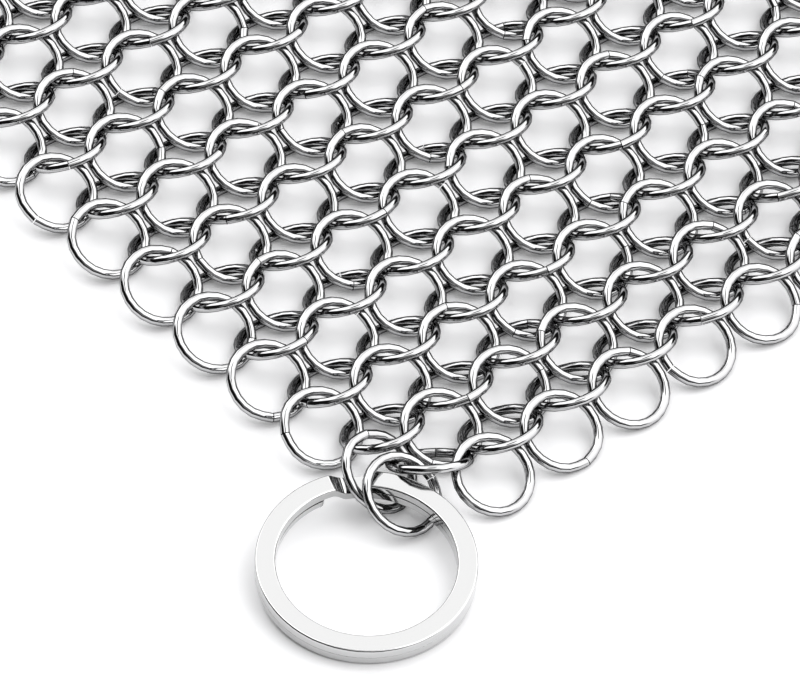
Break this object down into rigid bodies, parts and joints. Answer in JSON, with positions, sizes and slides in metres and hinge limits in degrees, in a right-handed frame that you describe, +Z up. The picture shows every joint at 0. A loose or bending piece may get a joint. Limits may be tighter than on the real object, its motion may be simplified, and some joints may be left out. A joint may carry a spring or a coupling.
{
  "type": "chainmail pot scrubber",
  "caption": "Flexible sheet of linked steel wire rings for scouring pots and pans, with a flat split key ring through one corner.",
  "frame": {"origin": "on the floor under the middle of the whole object, split ring included", "axes": "+X along the rows of rings, +Y across the rows away from the split ring's corner, +Z up off the floor"},
  "size_m": [0.22, 0.1576, 0.0079],
  "materials": {
    "mail_steel": "polished stainless steel wire",
    "split_ring_steel": "polished spring steel strip"
  },
  "bodies": {
    "ring_row_01": {"ring_row_01": "mail_steel"},
    "ring_row_02": {"ring_row_02": "mail_steel", "corner_ring_outer": "mail_steel", "corner_ring_middle": "mail_steel"},
    "ring_row_03": {"ring_row_03": "mail_steel", "corner_ring_inner": "mail_steel"},
    "ring_row_04": {"ring_row_04": "mail_steel"},
    "ring_row_05": {"ring_row_05": "mail_steel"},
    "ring_row_06": {"ring_row_06": "mail_steel"},
    "ring_row_07": {"ring_row_07": "mail_steel"},
    "ring_row_08": {"ring_row_08": "mail_steel"},
    "ring_row_09": {"ring_row_09": "mail_steel"},
    "ring_row_10": {"ring_row_10": "mail_steel"},
    "ring_row_11": {"ring_row_11": "mail_steel"},
    "ring_row_12": {"ring_row_12": "mail_steel"},
    "ring_row_13": {"ring_row_13": "mail_steel"},
    "ring_row_14": {"ring_row_14": "mail_steel"},
    "ring_row_15": {"ring_row_15": "mail_steel"},
    "ring_row_16": {"ring_row_16": "mail_steel"},
    "ring_row_17": {"ring_row_17": "mail_steel"},
    "ring_row_18": {"ring_row_18": "mail_steel"},
    "ring_row_19": {"ring_row_19": "mail_steel"},
    "ring_row_20": {"ring_row_20": "mail_steel"},
    "ring_row_21": {"ring_row_21": "mail_steel"},
    "ring_row_22": {"ring_row_22": "mail_steel"},
    "ring_row_23": {"ring_row_23": "mail_steel"},
    "ring_row_24": {"ring_row_24": "mail_steel"},
    "ring_row_25": {"ring_row_25": "mail_steel"},
    "split_ring": {"split_ring": "split_ring_steel"}
  },
  "joints": [
    {"name": "bend_01_02", "type": "hinge", "parent": "ring_row_02", "child": "ring_row_01", "pos_m": [0, -0.05974, 0.00304], "axis": [-1, 0, 0], "range_deg": [-6, 6]},
    {"name": "bend_02_03", "type": "hinge", "parent": "ring_row_03", "child": "ring_row_02", "pos_m": [0, -0.05443, 0.00304], "axis": [-1, 0, 0], "range_deg": [-4, 6]},
    {"name": "bend_03_04", "type": "hinge", "parent": "ring_row_04", "child": "ring_row_03", "pos_m": [0, -0.0493, 0.00304], "axis": [-1, 0, 0], "range_deg": [-6, 6]},
    {"name": "bend_04_05", "type": "hinge", "parent": "ring_row_05", "child": "ring_row_04", "pos_m": [0, -0.04407, 0.00304], "axis": [-1, 0, 0], "range_deg": [-12, 12]},
    {"name": "bend_05_06", "type": "hinge", "parent": "ring_row_06", "child": "ring_row_05", "pos_m": [0, -0.03863, 0.00304], "axis": [-1, 0, 0], "range_deg": [-12, 12]},
    {"name": "bend_06_07", "type": "hinge", "parent": "ring_row_07", "child": "ring_row_06", "pos_m": [0, -0.03301, 0.00304], "axis": [-1, 0, 0], "range_deg": [-12, 12]},
    {"name": "bend_07_08", "type": "hinge", "parent": "ring_row_08", "child": "ring_row_07", "pos_m": [0, -0.0273, 0.00304], "axis": [-1, 0, 0], "range_deg": [-12, 12]},
    {"name": "bend_08_09", "type": "hinge", "parent": "ring_row_09", "child": "ring_row_08", "pos_m": [0, -0.02157, 0.00304], "axis": [-1, 0, 0], "range_deg": [-12, 12]},
    {"name": "bend_09_10", "type": "hinge", "parent": "ring_row_10", "child": "ring_row_09", "pos_m": [0, -0.01582, 0.00304], "axis": [-1, 0, 0], "range_deg": [-12, 12]},
    {"name": "bend_10_11", "type": "hinge", "parent": "ring_row_11", "child": "ring_row_10", "pos_m": [0, -0.01007, 0.00304], "axis": [-1, 0, 0], "range_deg": [-12, 12]},
    {"name": "bend_11_12", "type": "hinge", "parent": "ring_row_12", "child": "ring_row_11", "pos_m": [0, -0.00432, 0.00304], "axis": [-1, 0, 0], "range_deg": [-12, 12]},
    {"name": "bend_12_13", "type": "hinge", "parent": "ring_row_13", "child": "ring_row_12", "pos_m": [0, 0.00143, 0.00304], "axis": [-1, 0, 0], "range_deg": [-12, 12]},
    {"name": "bend_13_14", "type": "hinge", "parent": "ring_row_13", "child": "ring_row_14", "pos_m": [0, 0.00718, 0.00304], "axis": [1, 0, 0], "range_deg": [-12, 12]},
    {"name": "bend_14_15", "type": "hinge", "parent": "ring_row_14", "child": "ring_row_15", "pos_m": [0, 0.01293, 0.00304], "axis": [1, 0, 0], "range_deg": [-12, 12]},
    {"name": "bend_15_16", "type": "hinge", "parent": "ring_row_15", "child": "ring_row_16", "pos_m": [0, 0.01868, 0.00304], "axis": [1, 0, 0], "range_deg": [-12, 12]},
    {"name": "bend_16_17", "type": "hinge", "parent": "ring_row_16", "child": "ring_row_17", "pos_m": [0, 0.02442, 0.00304], "axis": [1, 0, 0], "range_deg": [-12, 12]},
    {"name": "bend_17_18", "type": "hinge", "parent": "ring_row_17", "child": "ring_row_18", "pos_m": [0, 0.03017, 0.00304], "axis": [1, 0, 0], "range_deg": [-12, 12]},
    {"name": "bend_18_19", "type": "hinge", "parent": "ring_row_18", "child": "ring_row_19", "pos_m": [0, 0.03592, 0.00304], "axis": [1, 0, 0], "range_deg": [-12, 12]},
    {"name": "bend_19_20", "type": "hinge", "parent": "ring_row_19", "child": "ring_row_20", "pos_m": [0, 0.04167, 0.00304], "axis": [1, 0, 0], "range_deg": [-12, 12]},
    {"name": "bend_20_21", "type": "hinge", "parent": "ring_row_20", "child": "ring_row_21", "pos_m": [0, 0.04742, 0.00304], "axis": [1, 0, 0], "range_deg": [-12, 12]},
    {"name": "bend_21_22", "type": "hinge", "parent": "ring_row_21", "child": "ring_row_22", "pos_m": [0, 0.05317, 0.00304], "axis": [1, 0, 0], "range_deg": [-12, 12]},
    {"name": "bend_22_23", "type": "hinge", "parent": "ring_row_22", "child": "ring_row_23", "pos_m": [0, 0.05892, 0.00304], "axis": [1, 0, 0], "range_deg": [-12, 12]},
    {"name": "bend_23_24", "type": "hinge", "parent": "ring_row_23", "child": "ring_row_24", "pos_m": [0, 0.06467, 0.00304], "axis": [1, 0, 0], "range_deg": [-12, 12]},
    {"name": "bend_24_25", "type": "hinge", "parent": "ring_row_24", "child": "ring_row_25", "pos_m": [0, 0.07042, 0.00304], "axis": [1, 0, 0], "range_deg": [-12, 12]},
    {"name": "split_ring_swing", "type": "hinge", "parent": "ring_row_02", "child": "split_ring", "pos_m": [-0.0856, -0.05536, 0.0038], "axis": [-0.6695, 0.7427, 0.012], "range_deg": [0, 20]}
  ]
}
